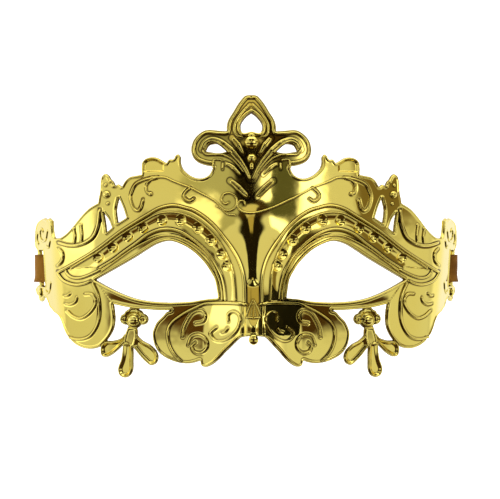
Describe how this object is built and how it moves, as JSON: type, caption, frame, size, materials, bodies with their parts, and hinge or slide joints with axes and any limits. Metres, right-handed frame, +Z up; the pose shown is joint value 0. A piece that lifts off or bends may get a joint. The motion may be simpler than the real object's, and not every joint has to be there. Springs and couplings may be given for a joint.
{
  "type": "venetian half mask",
  "caption": "Half-face masquerade mask with raised scrollwork, brow beads, a pierced crest and eye openings, and a folded tie ribbon threaded through each side tab.",
  "frame": {"origin": "inner face of the nose bridge, on the mask's centre line", "axes": "+X across the face from left to right as seen from the front, +Y into the face, +Z up"},
  "size_m": [0.1936, 0.1394, 0.1222],
  "materials": {
    "gold": "vacuum-metallised mirror gold over thin moulded plastic",
    "ribbon": "bronze satin weave"
  },
  "bodies": {
    "mask": {"brow_band_left": "gold", "brow_band_right": "gold", "brow_inner_rail_left": "gold", "brow_inner_rail_right": "gold", "brow_outer_rail_left": "gold", "brow_outer_rail_right": "gold", "cheek_border_left": "gold", "cheek_border_right": "gold", "cheek_lobe_left": "gold", "cheek_lobe_right": "gold", "cheek_scroll_left": "gold", "cheek_scroll_right": "gold", "crest_beads": "gold", "crest_plate": "gold", "crest_rim": "gold", "crest_v_rib_left": "gold", "crest_v_rib_right": "gold", "crest_window_rim": "gold", "eye_rim_left": "gold", "eye_rim_right": "gold", "finial_bead_left": "gold", "finial_bead_right": "gold", "flower_bead_left": "gold", "flower_bead_right": "gold", "flower_drop_left": "gold", "flower_drop_right": "gold", "forehead_curl_left": "gold", "forehead_curl_right": "gold", "forehead_plate": "gold", "forehead_scroll_left": "gold", "forehead_scroll_right": "gold", "gate_nub": "gold", "lower_lid_left": "gold", "lower_lid_right": "gold", "nose_panel": "gold", "nose_ridge_left": "gold", "nose_ridge_right": "gold", "nose_scroll_left": "gold", "nose_scroll_right": "gold", "side_tab_left": "gold", "side_tab_right": "gold", "tab_flower_left": "gold", "tab_flower_right": "gold", "temple_border_left": "gold", "temple_border_right": "gold", "temple_panel_left": "gold", "temple_panel_right": "gold"},
    "ribbon_left": {"ribbon_loop_left": "ribbon", "ribbon_hank_left": "ribbon", "ribbon_tie_left": "ribbon"},
    "ribbon_right": {"ribbon_loop_right": "ribbon", "ribbon_hank_right": "ribbon", "ribbon_tie_right": "ribbon"}
  },
  "joints": [
    {"name": "ribbon_right_swing", "type": "hinge", "parent": "mask", "child": "ribbon_right", "pos_m": [0.09293, 0.07484, 0], "axis": [0, 0, 1], "range_deg": [-10, 70]},
    {"name": "ribbon_left_swing", "type": "hinge", "parent": "mask", "child": "ribbon_left", "pos_m": [-0.09293, 0.07484, 0], "axis": [0, 0, -1], "range_deg": [-10, 70]}
  ]
}
